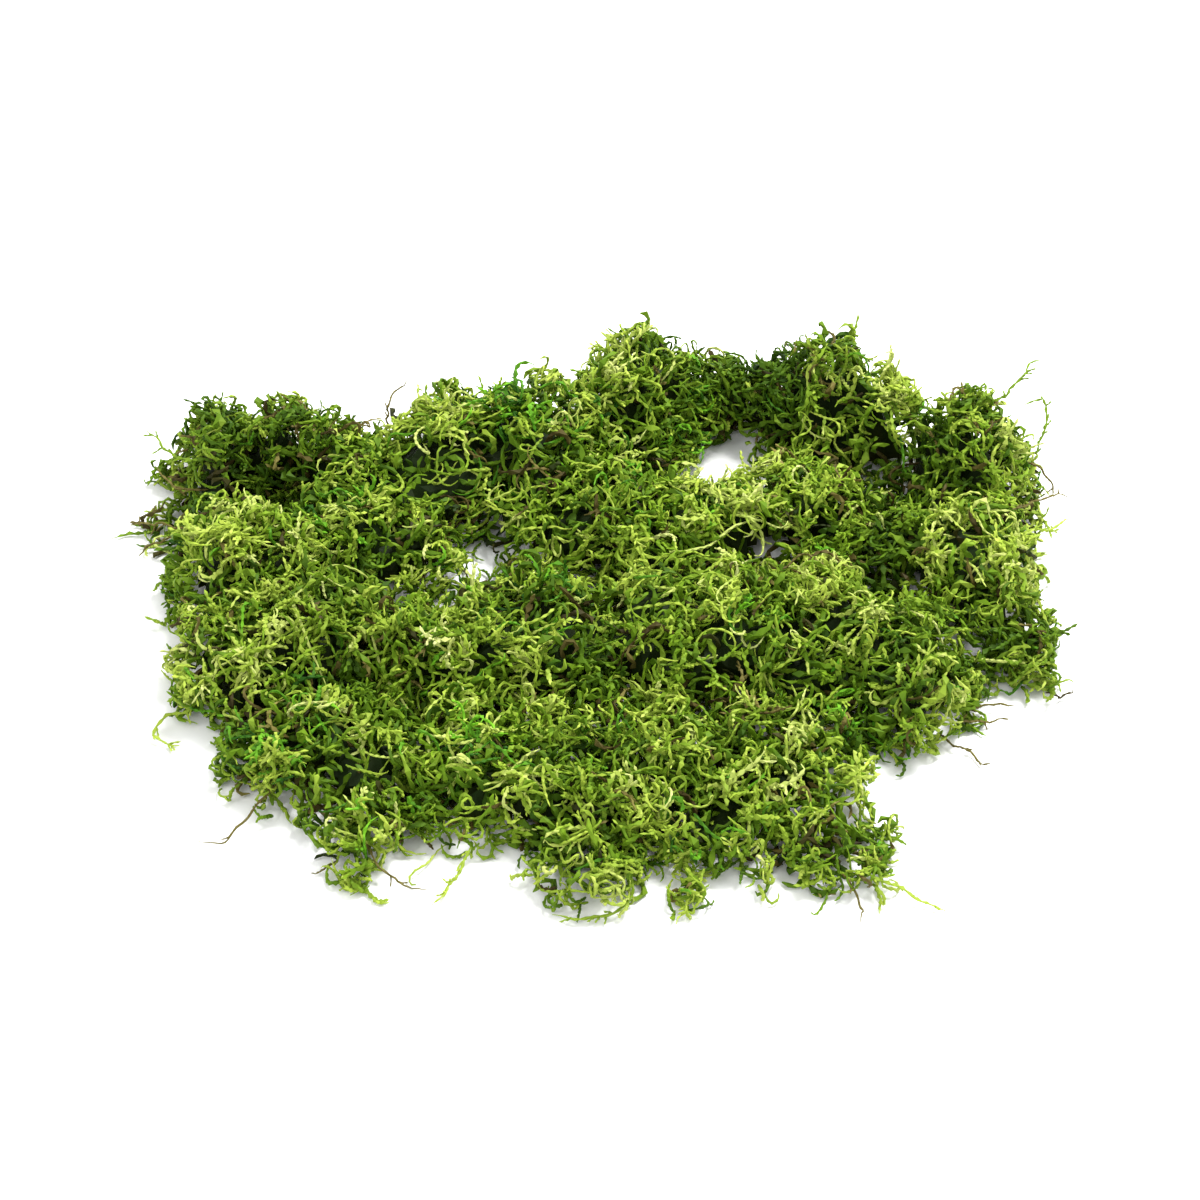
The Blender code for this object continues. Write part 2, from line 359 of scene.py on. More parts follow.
# %% The shape of the top
WIDE_LUMPS, NARROW_LUMPS = 1.8, 2.6    # mm, how high lumps about 12 and 6 mm wide usually are
SINK = 2.0                             # mm that all of the top goes down, so dips are deeper than bunches
DEEPEST, HIGHEST = -8.0, 1.2           # mm, the limits of the dips and the bunches
FULL_RELIEF = 16                       # mm, a mat as high as this has its dips in full
LEAST_RELIEF = 0.15                    # the share of them that the thinnest moss has
THINNEST = 2.5                         # mm

relief = np.clip(WIDE_LUMPS * lumps(4) + NARROW_LUMPS * lumps(2) - SINK, DEEPEST, HIGHEST)
mat_height = mat_height + relief * np.clip(mat_height / FULL_RELIEF, LEAST_RELIEF, 1.0)
for x, y, radius, deep in HOLLOWS:
    mat_height -= deep * bump(x, y, radius)
for x, y, radius, high in MOUNDS:
    mat_height += high * bump(x, y, radius)
mat_height = np.where(moss_here, np.maximum(mat_height, THINNEST), 0.0)
print(f"dips of up to {-relief.min():.1f} mm, and the highest point is at {mat_height.max():.1f} mm")

# %% Fields that guide the shoots
STEEPEST = 3    # mm for each mm, the most that a shoot takes notice of

inside = blurred(moss_here.astype(float), 2)         # 1 in the mat, 0 outside, about half at the rim
well_inside = blurred(moss_here.astype(float), 4)    # the same, but softer
dip = np.clip(-relief / 6, 0, 1)                     # 1 in the deepest dips between bunches
spared = np.prod([1 - 0.97 * bump(x, y, radius) for x, y, radius in THIN_SPOTS], axis=0)
rim_share = np.clip((well_inside - 0.36) / 0.3, 0.0, 1.0)
thickness = rim_share * spared                       # 0 at the rim and in the thin spots
reach_height = widened(mat_height, 5, fall=1.6)      # the top, carried out over its rim
reach_slopes = np.gradient(blurred(reach_height, 1, 1), CELL)
slope_x, slope_y = (np.clip(slope, -STEEPEST, STEEPEST) for slope in reach_slopes)
inward_x, inward_y = np.gradient(blurred(moss_here.astype(float), 5), CELL)
inward_size = np.maximum(np.hypot(inward_x, inward_y), 1e-6)
inward_x, inward_y = inward_x / inward_size, inward_y / inward_size
print(f"{np.mean(thickness[moss_here] > 0.9):.0%} of the moss is at its full thickness")


# %% Reading a field under a point
def cell_of(places):
    """The grid cell under each place."""
    at = np.rint((places[:, :2] - grid_low) / CELL).astype(int)
    return tuple(np.clip(at, 0, grid_size - 1).T)


def field_at(field, places):
    """The field's value under each place, smoothly between the grid points."""
    at = np.clip((places[:, :2] - grid_low) / CELL, 0, grid_size - 2)
    low = at.astype(int)
    (x, y), (fx, fy) = low.T, (at - low).T
    near = field[x, y] * (1 - fx) + field[x + 1, y] * fx
    far = field[x, y + 1] * (1 - fx) + field[x + 1, y + 1] * fx
    return near * (1 - fy) + far * fy


# %% [markdown]
# ## Growing a shoot
# A shoot roots deep, works its way out between its neighbours and swings slowly as it goes. Each one is
# walked forward in short steps. Its direction turns about an axis that itself drifts, which gives the lazy
# curls of moss, and it is drawn to a chosen depth under the mat's top: strongly if it creeps along the mat,
# weakly if it stands free. Near the rim it is turned back, except for a few strays, so the rim is ragged but
# the holes stay open. All shoots of a kind take each step together, as rows of one array, which is far
# faster than one by one.

# %% Rooting and growing
LOWEST = 0.75                       # mm, how near a shoot's middle line comes to the table
RIM_PULL, STRAY_PULL = 0.5, 0.04    # how strongly the rim turns back most shoots, and the strays


def unit(vectors):
    """The same directions, each with a length of 1."""
    return vectors / np.maximum(np.linalg.norm(vectors, axis=-1, keepdims=True), 1e-9)


def root_places(count, weight):
    """Random places (x, y) in the mat, more of them where the weight is high."""
    chance = (weight * moss_here).ravel()
    cells = rng.choice(chance.size, count, p=chance / chance.sum())
    at = np.stack(np.unravel_index(cells, weight.shape), 1) + rng.uniform(-0.5, 0.5, (count, 2))
    return grid_low + CELL * at


def outward(places):
    """The direction that faces straight out of the mat's top at each place."""
    uphill_x, uphill_y = field_at(slope_x, places), field_at(slope_y, places)
    return unit(np.stack([-uphill_x, -uphill_y, np.ones(len(places))], 1))


def grow(places, direction, length, points, depths, curl, hold, stray=0.1, ceiling=1.5):
    """Lines of points, an array (shoots, points, 3), from root to tip.

    They are drawn with that hold to depths (shoots, 2), the mm under the mat's top for the root and the tip.
    curl is the usual turn in radians per mm, stray the share of shoots that the rim hardly turns back, and
    ceiling how far (mm) a shoot may stand out of the mat before it bends over."""
    count = len(places)
    step = (length / (points - 1))[:, None]
    keep_in = np.where(rng.random(count) < stray, STRAY_PULL, RIM_PULL)[:, None]
    swing = rng.normal(0, curl, (count, 3))
    axis = swing.copy()
    lines = [places.copy()]
    for number in range(1, points):
        # The axis of the curl drifts, and the tip curls more than the base.
        share = number / (points - 1)
        axis = 0.75 * axis + 0.25 * swing + rng.normal(0, 0.35 * curl, (count, 3))
        direction = direction + np.cross(axis * (0.7 + 0.9 * share ** 2), direction) * step
        # The shoot leans back to its depth, and bends over if it stands out of the mat.
        out = outward(places)
        depth = depths[:, 0] + (depths[:, 1] - depths[:, 0]) * share
        above = (places[:, 2] - field_at(reach_height, places) + depth) * out[:, 2]
        too_high = np.clip(above - depth * out[:, 2] - ceiling, 0, 3) * 0.3
        direction = direction - out * (hold * np.clip(above / 3, -1, 1) + too_high)[:, None]
        # Near the rim it turns inward.
        outside = np.clip((0.70 - field_at(inside, places)) / 0.3, 0, 1)[:, None]
        cell = cell_of(places)
        back = np.stack([inward_x[cell], inward_y[cell], np.zeros(count)], 1)
        direction = unit(direction + keep_in * outside * back)
        # It takes its step, and glides along the table if it meets it.
        places = places + step * direction
        low = places[:, 2] < LOWEST
        places[low, 2] = LOWEST
        direction[low, 2] = np.abs(direction[low, 2]) * 0.5
        lines.append(places.copy())
    return np.stack(lines, 1)


# %% [markdown]
# ## From line to leafy shoot
# A moss shoot is a wiry stem wrapped in tiny pointed leaves that overlap like scales. Three leaves to a
# whorl, each whorl turned to sit over the gaps of the last, read as a scaly, three-sided twist. Every leaf
# could be a shape of its own, but that needs several times the triangles. So each shoot is a three-sided
# tube whose rings are alternately narrow, at the leaves' bases, and wide, at their points, with the wide
# rings pushed forward along the stem.

# %% Shoot meshes
SIDES = 3


def along(lines):
    """Unit directions along each line."""
    return unit(np.gradient(lines, axis=1))


def carried_frames(forward):
    """Two unit vectors across each line, carried along it without twist."""
    across = np.cross(forward[:, 0], rng.normal(size=(len(forward), 3)))
    frames = []
    for number in range(forward.shape[1]):
        ahead = forward[:, number]
        across = unit(across - (across * ahead).sum(1, keepdims=True) * ahead)
        frames.append(across)
    across = np.stack(frames, 1)
    return across, np.cross(forward, across)


def tube_faces(rings, count):
    """Triangles of that many closed tubes, whose rings are each turned half a side from the last."""
    faces = []
    for ring in range(rings - 1):
        for side in range(SIDES):
            after = (side + 1) % SIDES
            near, far = ring * SIDES, (ring + 1) * SIDES
            faces.append((near + side, near + after, far + side))
            faces.append((far + side, near + after, far + after))
    last = (rings - 1) * SIDES
    faces.append((2, 1, 0))
    faces.append((last, last + 1, last + 2))
    first_points = np.arange(count) * rings * SIDES
    return (np.array(faces)[None] + first_points[:, None, None]).reshape(-1, 3)


# %% Leaves
ROOT_WIDTH, TIP_WIDTH = 0.7, 0.25    # as shares of the shoot's radius
LEAF_PUSH = 0.9    # how far leaf points are pushed forward, as a share of how far they stand out
UNEVEN = 0.18      # how much larger or smaller than its neighbours one leaf may be
MOTTLE = 0.08      # how much the age changes by chance from one whorl to the next
AGE_STEP = 0.06    # how much younger a leaf's point is than its base
SIDE_STEP = 0.005  # the difference in tone from side to side, so that no face is a bare line on the maps


def leafy_tubes(lines, radius, tone, leaf, taper, age=(0.0, 1.0)):
    """Points, faces and the (tone, age) of each point, for one tube along each line.

    leaf is how far the leaf points stand out and taper how narrow the tube gets towards its tip, as shares of
    the radius. age is that of the root and of the tip, where 0 is oldest."""
    count, rings, _ = lines.shape
    forward = along(lines)
    across, up = carried_frames(forward)
    share = np.linspace(0, 1, rings)
    odd = np.arange(rings) % 2
    profile = np.interp(share, (0, 0.25, 0.7, 1), (ROOT_WIDTH, 1, 0.95, taper))
    profile = profile * (1 + leaf * (2 * odd - 1))
    profile[-1] = TIP_WIDTH
    size = radius[:, None] * profile
    angle = 2 * math.pi * np.arange(SIDES)[None, :] / SIDES + math.pi / SIDES * np.arange(rings)[:, None]
    swell = 1 + rng.uniform(-UNEVEN, UNEVEN, (count, rings, SIDES))
    push = (leaf * LEAF_PUSH * odd)[None, :, None] * radius[:, None, None]
    cosine, sine = np.cos(angle)[None, :, :, None], np.sin(angle)[None, :, :, None]
    round_line = cosine * across[:, :, None] + sine * up[:, :, None]
    points = lines[:, :, None] + (size[:, :, None] * swell)[..., None] * round_line
    points = points + push[..., None] * forward[:, :, None]
    points[..., 2] = np.maximum(points[..., 2], 0.05)
    tones = tone[:, None, None] + SIDE_STEP * (np.arange(SIDES) - 1)[None, None]
    ages = age[0] + (age[1] - age[0]) * share + AGE_STEP * (odd - 0.5)
    mottle = rng.normal(0, MOTTLE, (count, rings, 1))
    tints = np.stack(np.broadcast_arrays(tones, ages[None, :, None] + mottle), -1)
    return points.reshape(-1, 3), tube_faces(rings, count), np.clip(tints, 0.004, 0.996).reshape(-1, 2)


# %% Side branches
FORWARD_PULL = 0.12    # how strongly a branch turns to run along its shoot


def branchlets(lines, chosen, at, length, points, spread, bend):
    """Short lines that leave the chosen shoots, each at its point number at, to one side.

    spread is the angle at which each leaves, and bend its usual turn, in radians and radians per mm."""
    forward = along(lines)[chosen, at]
    side = unit(np.cross(forward, (0, 0, 1.0)))
    side *= rng.choice((-1.0, 1.0), len(chosen))[:, None]
    side = side + rng.normal(0, 0.45, side.shape)
    place = lines[chosen, at]
    heading = forward * np.cos(spread)[:, None] + side * np.sin(spread)[:, None]
    turn = rng.normal(0, bend, heading.shape)
    result = [place]
    step = (length / (points - 1))[:, None]
    for _ in range(points - 1):
        heading = unit(heading + turn * step + FORWARD_PULL * forward)
        place = place + step * heading
        place[:, 2] = np.maximum(place[:, 2], LOWEST)
        result.append(place)
    return np.stack(result, 1)


# %% [markdown]
# ## Tones
# Every shoot has one tone between 0 and 1, a place on one palette: dead brown to straw up to 0.28, leaf
# greens from deep olive to pale lime between 0.30 and 0.80, and blue-greens from 0.84 on. Along the shoot its
# age runs from its old, dull base to its young, bright tip. The colour is worked out from those two numbers
# alone, so it stays with its shoot wherever the model goes.

# %% The palette
# The felt stop at 0.00 is nearly black-green: painted shade for the deep mat, where light hardly comes back.
OLD_LEAF = (
    (0.00, "102203"), (0.12, "2a220a"), (0.28, "5e5422"),                      # felt, dead brown, straw
    (0.31, "162c01"), (0.45, "3d5c06"), (0.60, "6e8a22"), (0.80, "969e3a"),    # deep olive to pale lime
    (0.84, "0a2402"), (1.00, "3a7208"),                                        # blue-greens
)
YOUNG_LEAF = (
    (0.00, "1a3206"), (0.12, "443c16"), (0.28, "948c4c"),
    (0.31, "375a04"), (0.45, "76971e"), (0.60, "a8ba46"), (0.80, "d8dc98"),
    (0.84, "1e4e0a"), (1.00, "7cbc28"),
)
EMERALD, BROWN = 0.92, 0.15                # the usual tones of blue-green and dead shoots
GREENS = (0.34, 0.75)                      # the limits of the leaf greens' tones
BLUE_GREENS = (0.85, 0.99)                 # and of the blue-greens'
BROWNS = (0.01, 0.27)                      # and of the browns'


def dried_moss(name, lift):
    """Dried moss leaves, made by drying green shoots in glycerine and dye.

    They are thin, waxless and crinkled, so the eye sees them as matt and soft, with hardly a highlight, and
    with light and dark cells that vary along each shoot."""
    made = bpy.data.materials.new(name)
    made.use_nodes = True
    tree = made.node_tree
    shader = tree.nodes["Principled BSDF"]
    tone_and_age = add_node(tree, "ShaderNodeUVMap", uv_map="tone_and_age")
    split = add_node(tree, "ShaderNodeSeparateXYZ", [(tone_and_age.outputs["UV"], 0)])
    old = add_node(tree, "ShaderNodeValToRGB", [(split.outputs["X"], "Fac")])
    set_ramp(old, OLD_LEAF)
    young = add_node(tree, "ShaderNodeValToRGB", [(split.outputs["X"], "Fac")])
    set_ramp(young, YOUNG_LEAF)
    blend = add_node(tree, "ShaderNodeMix", [(split.outputs["Y"], "Factor")], data_type="RGBA")
    tree.links.new(old.outputs["Color"], blend.inputs["A"])
    tree.links.new(young.outputs["Color"], blend.inputs["B"])
    light = add_node(tree, "ShaderNodeHueSaturation", [(blend.outputs["Result"], "Color")])
    light.inputs["Value"].default_value = lift
    tree.links.new(light.outputs["Color"], shader.inputs["Base Color"])
    shader.inputs["Roughness"].default_value = 0.62
    shader.inputs["IOR"].default_value = 1.45
    shader.inputs["Specular IOR Level"].default_value = 0.15
    return made


LIFT = {    # how bright each finish is beside the palette
    "moss_green": 1.0, "moss_lime": 1.06, "moss_emerald": 0.96, "moss_olive": 0.9, "moss_stem": 0.9,
}
finishes = {slot: dried_moss("dried_" + slot, lift) for slot, lift in LIFT.items()}
print("finishes:", [finish.name for finish in finishes.values()])

# %% [markdown]
# ## Patches of colour
# Moss is greener where it was wet and browner where it was dry, so its colour changes in patches a
# centimetre or two across. The dark patches are painted shade instead: they lie over the deep hollows between
# bunches, darken the shoots there and make more of them dead brown. Each patch is (x, y, radius, strength),
# in millimetres and as a share.

# %% The patches
EMERALD_SPOTS = (
    (-22, 66, 13, 1.1), (-30, 56, 9, 0.8), (-16, -10, 7, 1.2), (-86, 35, 8, 0.6), (-77, -38, 8, 0.6),
    (-84, -58, 12, 0.7), (-38, -66, 8, 0.6), (31, -25, 6, 0.6), (52, -25, 6, 0.6), (26, -94, 7, 0.6),
    (69, -52, 9, 0.5), (31, 77, 8, 0.5), (6, 42, 6, 0.5),
)
LIME_SPOTS = (
    (-118, 12, 12, 0.7), (-132, 25, 10, 0.6), (66, -68, 14, 0.8), (109, 12, 12, 0.7), (-20, -52, 12, 0.6),
    (-1, 5, 10, 0.6), (35, 28, 10, 0.5), (10, -101, 12, 0.5), (43, -73, 12, 0.6), (8, 84, 10, 0.6),
    (11, -39, 11, 0.8), (-121, -27, 10, 0.6), (73, -34, 9, 0.6), (56, -34, 9, 0.6),
)
# Dark patches are painted shade: they lie over the deep hollows between bunches and darken the shoots there.
PAINTED_SHADE_SPOTS = (
    (-102, 50, 14, 1.0), (-94, 56, 9, 1.0), (97, 51, 12, 1.0), (86, 13, 10, 0.9), (-7, -69, 8, 0.9),
    (79, -54, 9, 0.8), (36, -38, 9, 0.8), (112, 61, 8, 0.5), (-116, 62, 8, 0.8), (15, 96, 8, 0.4),
    (66, 92, 11, 0.7), (-40, 40, 9, 0.8), (-3, -29, 8, 0.7), (-63, -31, 8, 0.7), (25, 60, 8, 0.5),
    (-121, 35, 9, 0.9), (66, 44, 9, 0.9), (111, 56, 8, 0.6), (-1, -76, 8, 0.9), (-55, 28, 7, 0.5),
    (-108, -10, 9, 0.5), (-52, -23, 7, 0.5), (37, -44, 7, 0.5), (68, -58, 8, 0.6), (8, 30, 7, 0.4),
)


def patchwork(spots):
    """A field of patches, 0 where there is none."""
    field = np.zeros(grid_size)
    for x, y, radius, strength in spots:
        field = np.maximum(field, strength * bump(x, y, radius))
    return field


emerald_share, lime_share, painted_shade_share = map(patchwork, (EMERALD_SPOTS, LIME_SPOTS, PAINTED_SHADE_SPOTS))
SLOT_TONE = {"moss_green": 0.54, "moss_lime": 0.57, "moss_emerald": 0.53, "moss_olive": 0.51}
tuft_tone = np.array([SLOT_TONE[slot_of[name]] for name in tufts])
print(f"{len(EMERALD_SPOTS)} blue-green, {len(LIME_SPOTS)} lime and {len(PAINTED_SHADE_SPOTS)} dark patches")


# %% The tone of a shoot
def shoot_tones(places, tint, dead_share):
    """A tone for each shoot from its tuft, its bunch's tint, the patches round it, painted shade and chance.
    """
    base = tuft_tone[owner[cell_of(places)]] + tint
    lime, dark = field_at(lime_share, places), field_at(painted_shade_share, places)
    # Painted shade: shoots in the dark patches and in the dips between bunches get a darker tone, and in the
    # dark patches more of them are dead brown.
    shade = 0.18 * dark + 0.24 * field_at(dip, places)
    tone = base + 0.05 + 0.05 * lime - shade + rng.normal(0, 0.028, len(places))
    tone = np.clip(tone, *GREENS)
    emerald = rng.random(len(places)) < 0.8 * field_at(emerald_share, places) + 0.02
    tone = np.where(emerald, np.clip(rng.normal(EMERALD, 0.04, len(places)), *BLUE_GREENS), tone)
    dead = rng.random(len(places)) < dead_share + 0.15 * dark
    return np.where(dead, np.clip(rng.normal(BROWN, 0.06, len(places)), *BROWNS), tone)


# %% [markdown]
# ## The layers
# From the table up, the mat is: flattened old stems that it lies on, a felt of older stems too fine to make
# one by one, a tangle of shaded stems round that, and the leafy shoots that cover it all, many with short
# side branches. About one shoot in five stands free of the mat, longer runners wander through the rest, and a
# few long pale threads lie on top. Each layer is grown over the whole mat and shared out to the tufts.

# %% Sharing a layer out
parts_of_tuft = [[] for _ in tufts]


def add_layer(lines, tubes):
    """Share a layer's tubes out to the tufts that their roots are in, and count its triangles."""
    points, faces, tints = tubes
    count, rings = lines.shape[:2]
    home = owner[cell_of(lines[:, 0])]
    points = points.reshape(count, rings * SIDES, 3)
    tints = tints.reshape(count, rings * SIDES, 2)
    for number in range(len(tufts)):
        mine = home == number
        if mine.any():
            own_points, own_tints = points[mine].reshape(-1, 3), tints[mine].reshape(-1, 2)
            parts_of_tuft[number].append((own_points, tube_faces(rings, mine.sum()), own_tints))
    return len(faces)


# %% [markdown]
# ## The felt inside
# In the real mat the shoots hide a felt of thousands of old stems, and no light comes through it. Making them
# all would spend the triangles where nobody looks. So each tuft gets one closed body well under its shoots,
# built of upright blocks whose corners are pushed about at random. Its top is painted shade, nearly
# black-green, because light that goes that deep hardly comes back, and its underside is a dark olive brown.
# It stays away from the rim, where it would show as a smooth wall.

# %% Felt
FELT_STEP = 3        # mm between the felt's corners, in whole grid cells
FELT_BOTTOM = 3.0    # mm over the table
FELT_LEAST = 1.5     # mm, a thinner felt is left out
FELT_INSET = 3.5     # mm from the mat's rim
FELT_SLOPE = 1.6     # mm that the felt may rise for each mm from there
FELT_DEPTH = 5.0     # mm under the lowest of the mat's top round it
FELT_ROUGH_TOP, FELT_ROUGH_BOTTOM, FELT_ROUGH_SIDES = 1.3, 0.9, 0.8    # mm that corners are pushed about

felt_top = -widened(-np.where(thickness > 0.7, mat_height, 0), 4) - FELT_DEPTH
felt_top = np.minimum(felt_top, FELT_SLOPE * (rim_distance - FELT_INSET))
felt_jitter = rng.uniform(-1.0, 1.0, (*grid_size, 3))


def lay_felt():
    """A closed, lumpy body inside each tuft, so that nobody looks through it, its top painted near-black as
    shade.
    """
    corner = felt_top[::FELT_STEP, ::FELT_STEP] > FELT_BOTTOM + FELT_LEAST
    full = corner[:-1, :-1] & corner[1:, :-1] & corner[:-1, 1:] & corner[1:, 1:]
    block_owner = np.where(full, owner[::FELT_STEP, ::FELT_STEP][:-1, :-1], -1)
    made = 0
    for number in range(len(tufts)):
        points, tints, faces, known = [], [], [], {}

        def vertex(column, row, top):
            """The number of a corner's point, which is made when it is first asked for."""
            key = (column, row, top)
            if key not in known:
                i, j = column * FELT_STEP, row * FELT_STEP
                wobble = felt_jitter[i, j]
                x, y = grid_low + CELL * np.array((i, j)) + FELT_ROUGH_SIDES * wobble[:2]
                if top:
                    height = felt_top[i, j] + FELT_ROUGH_TOP * wobble[2]
                    # Painted shade: the top of the felt is nearly black-green.
                    tint = (0.015 + 0.01 * wobble[0], 0.15 + 0.1 * wobble[1])
                else:
                    height = FELT_BOTTOM + FELT_ROUGH_BOTTOM * wobble[2]
                    tint = (0.060 + 0.03 * wobble[0], 0.40 + 0.3 * wobble[1])
                known[key] = len(points)
                points.append((x, y, height))
                tints.append(tint)
            return known[key]

        def quad(*corners):
            """Two triangles between four corners."""
            a, b, c, d = (vertex(*corner) for corner in corners)
            faces.extend([(a, b, c), (a, c, d)])

        for i, j in zip(*np.nonzero(block_owner == number)):
            quad((i, j, 1), (i + 1, j, 1), (i + 1, j + 1, 1), (i, j + 1, 1))
            quad((i, j, 0), (i, j + 1, 0), (i + 1, j + 1, 0), (i + 1, j, 0))
            walls = (
                ((i, j - 1), (i, j), (i + 1, j)), ((i + 1, j), (i + 1, j), (i + 1, j + 1)),
                ((i, j + 1), (i + 1, j + 1), (i, j + 1)), ((i - 1, j), (i, j + 1), (i, j)),
            )
            for neighbour, start, end in walls:
                if block_owner[neighbour] != number:
                    quad((*start, 0), (*end, 0), (*end, 1), (*start, 1))
        if faces:
            parts_of_tuft[number].append((np.array(points), np.array(faces), np.array(tints)))
            made += len(faces)
    return made


# %% Roots, directions and old tones
def rooted(places, depth):
    """Roots (x, y, z) at a depth in mm under the top."""
    high = np.maximum(field_at(mat_height, places) - depth, LOWEST)
    return np.column_stack([places, high])


def any_way(count, flat=1.0):
    """Random directions, the flatter the smaller the number."""
    return unit(rng.normal(size=(count, 3)) * (1, 1, flat))


def old_tones(count, dead, brown=0.12, green=0.40):
    """Tones of old growth: that share of it is dead and brown, and the rest is deep green."""
    is_dead = rng.random(count) < dead
    brown_tone = np.clip(rng.normal(brown, 0.06, count), *BROWNS)
    green_tone = np.clip(rng.normal(green, 0.05, count), 0.32, 0.6)
    return np.where(is_dead, brown_tone, green_tone)


# %% [markdown]
# ## Where shoots root
# Seen from the side, a slope has more surface than its plan shows, so it gets more shoots, or the steep rim
# would look bald. Thin spots get few, and dark patches fewer than bright ones.

# %% Root weights
steepness = np.hypot(slope_x, slope_y)
surface_weight = np.maximum(rim_share, np.clip(steepness - 1, 0, 1)) * spared * np.sqrt(1 + steepness ** 2)
surface_weight *= 1 - 0.35 * painted_shade_share
deep_inside = np.clip((well_inside - 0.8) / 0.2, 0, 1) * thickness
print(f"the steepest part gets {surface_weight.max():.1f} times the shoots of a level one")


# %% Underside and inside
FLAT_HEIGHT = 2.5    # mm, how high the flattened stems lie at most


def lay_underside(count):
    """Old stems pressed flat where the clump lies."""
    roots = rooted(root_places(count, deep_inside), 0)
    roots[:, 2] = rng.uniform(LOWEST, FLAT_HEIGHT, count)
    depth = field_at(mat_height, roots)[:, None] - rng.uniform(LOWEST, FLAT_HEIGHT, (count, 1))
    lines = grow(roots, any_way(count, 0.1), rng.uniform(9, 18, count), points=7,
                 depths=np.repeat(depth, 2, 1), curl=0.12, hold=0.5, stray=0)
    tone = old_tones(count, dead=0.35, brown=0.14, green=0.43)
    tubes = leafy_tubes(lines, rng.uniform(0.6, 1.1, count), tone, leaf=0.3, taper=0.4, age=(0.0, 0.7))
    return add_layer(lines, tubes)


def fill_inside(count):
    """Shaded stems between the felt and the leafy shoots, more of them where fewer shoots hide the felt."""
    bare = 1 + 1.5 * dip + 2.0 * painted_shade_share
    places = root_places(count, np.clip((well_inside - 0.55) / 0.3, 0, 1) * surface_weight * bare)
    depth = rng.uniform(2.0, 6.0, count)
    other = depth + rng.normal(0, 1.5, count)
    lines = grow(rooted(places, depth), any_way(count), rng.uniform(8, 15, count), points=7,
                 depths=np.stack([depth, other], 1), curl=0.14, hold=0.3, stray=0)
    # Painted shade: the inside stems are a deeper green under the dark patches.
    tone = old_tones(count, dead=0.10, green=0.42 - 0.07 * field_at(painted_shade_share, places))
    tubes = leafy_tubes(lines, rng.uniform(0.6, 1.1, count), tone, leaf=0.3, taper=0.4, age=(0.0, 0.7))
    return add_layer(lines, tubes)


# %% Leafy cover
FREE_SHARE = 0.22       # the share of the shoots that stand free of the mat
BUNCH_SPREAD = 1.5      # mm round the bunch's heart that its shoots root in
TINT_SPREAD = 0.055     # how much the bunches differ in tone
BRANCHES = 1.7          # side branches to a shoot, on average


def cover_top(count, bunch):
    """Leafy shoots in bunches that fan out of one root, arch over and curl, each with a few side branches."""
    bunches = count // bunch
    hearts = root_places(bunches, surface_weight)
    lean, tint = any_way(bunches, 0.4), rng.normal(0, TINT_SPREAD, bunches)
    member = np.repeat(np.arange(bunches), bunch)
    count = len(member)
    places = hearts[member] + rng.normal(0, BUNCH_SPREAD, (count, 2))
    places = np.where(moss_here[cell_of(places)][:, None], places, hearts[member])
    depth = rng.uniform(0.5, 4.5, count)
    roots = rooted(places, depth)
    rise = rng.uniform(0.0, 1.0, (count, 1))
    start = unit(1.2 * lean[member] + 0.6 * any_way(count, 0.6) + 0.8 * rise * outward(roots))
    free = rng.random(count) < FREE_SHARE
    depths = np.stack([depth, np.where(free, -2.0, rng.uniform(-0.6, 2.2, count))], 1)
    lines = grow(roots, start, rng.uniform(7, 17, count), points=12, depths=depths, curl=0.13,
                 hold=np.where(free, 0.03, 0.32), stray=0.25, ceiling=np.where(free, 3.0, 1.0))
    tone = shoot_tones(roots, tint[member], dead_share=0.02)
    radius = rng.uniform(0.42, 0.80, count)
    made = add_layer(lines, leafy_tubes(lines, radius, tone, leaf=0.32, taper=0.3))
    chosen = rng.choice(count, int(BRANCHES * count))
    at = rng.integers(2, 11, len(chosen))
    small = branchlets(lines, chosen, at, rng.uniform(2.0, 5.5, len(chosen)), points=5,
                       spread=rng.uniform(0.5, 1.1, len(chosen)), bend=0.18)
    tone = np.clip(tone[chosen] + rng.normal(0.01, 0.025, len(chosen)), 0.01, 0.99)
    twigs = leafy_tubes(small, 0.7 * radius[chosen], tone, leaf=0.36, taper=0.3, age=(0.4, 1.0))
    return made + add_layer(small, twigs)


# %% Runners and rim
def lay_runners(count):
    """Longer shoots that wander over and under their neighbours and hold the bunches together."""
    places = root_places(count, surface_weight)
    depth = rng.uniform(0.0, 2.0, count)
    depths = np.stack([depth, rng.uniform(-1.0, 1.0, count)], 1)
    lines = grow(rooted(places, depth), any_way(count, 0.3), rng.uniform(12, 24, count), points=17,
                 depths=depths, curl=0.11, hold=0.3)
    tone = shoot_tones(places, rng.normal(0.02, 0.04, count), dead_share=0.03)
    tubes = leafy_tubes(lines, rng.uniform(0.36, 0.58, count), tone, leaf=0.2, taper=0.3, age=(0.15, 1.0))
    return add_layer(lines, tubes)


def curl_over_rim(count):
    """Low shoots that curl out over the rim and lie on the table, which makes it lacy."""
    places = root_places(count, (well_inside < 0.85) * (thickness > 0.05))
    depth = rng.uniform(0.0, 3.0, count)
    roots = rooted(places, depth)
    cell = cell_of(places)
    out = -np.stack([inward_x[cell], inward_y[cell], np.zeros(count)], 1)
    start = unit(0.6 * out + 0.9 * any_way(count, 0.5))
    depths = np.stack([depth, rng.uniform(-0.5, 2.0, count)], 1)
    lines = grow(roots, start, rng.uniform(5, 12, count), points=13, depths=depths, curl=0.20, hold=0.15,
                 stray=0.8)
    tone = shoot_tones(roots, rng.normal(0, 0.04, count), dead_share=0.03)
    return add_layer(lines, leafy_tubes(lines, rng.uniform(0.35, 0.65, count), tone, leaf=0.24, taper=0.35))


# %% [markdown]
# ## Threads
# A few long pale stems lie over the mat, last year's growth that has lost most of its leaves. The eye
# follows them, so the plainest ones are placed as rough routes of a few (x, y) points. Cutting a route's
# corners again and again turns it into a smooth curve. Its height is the mat's top plus a low hump, so only
# its ends go in among the shoots.

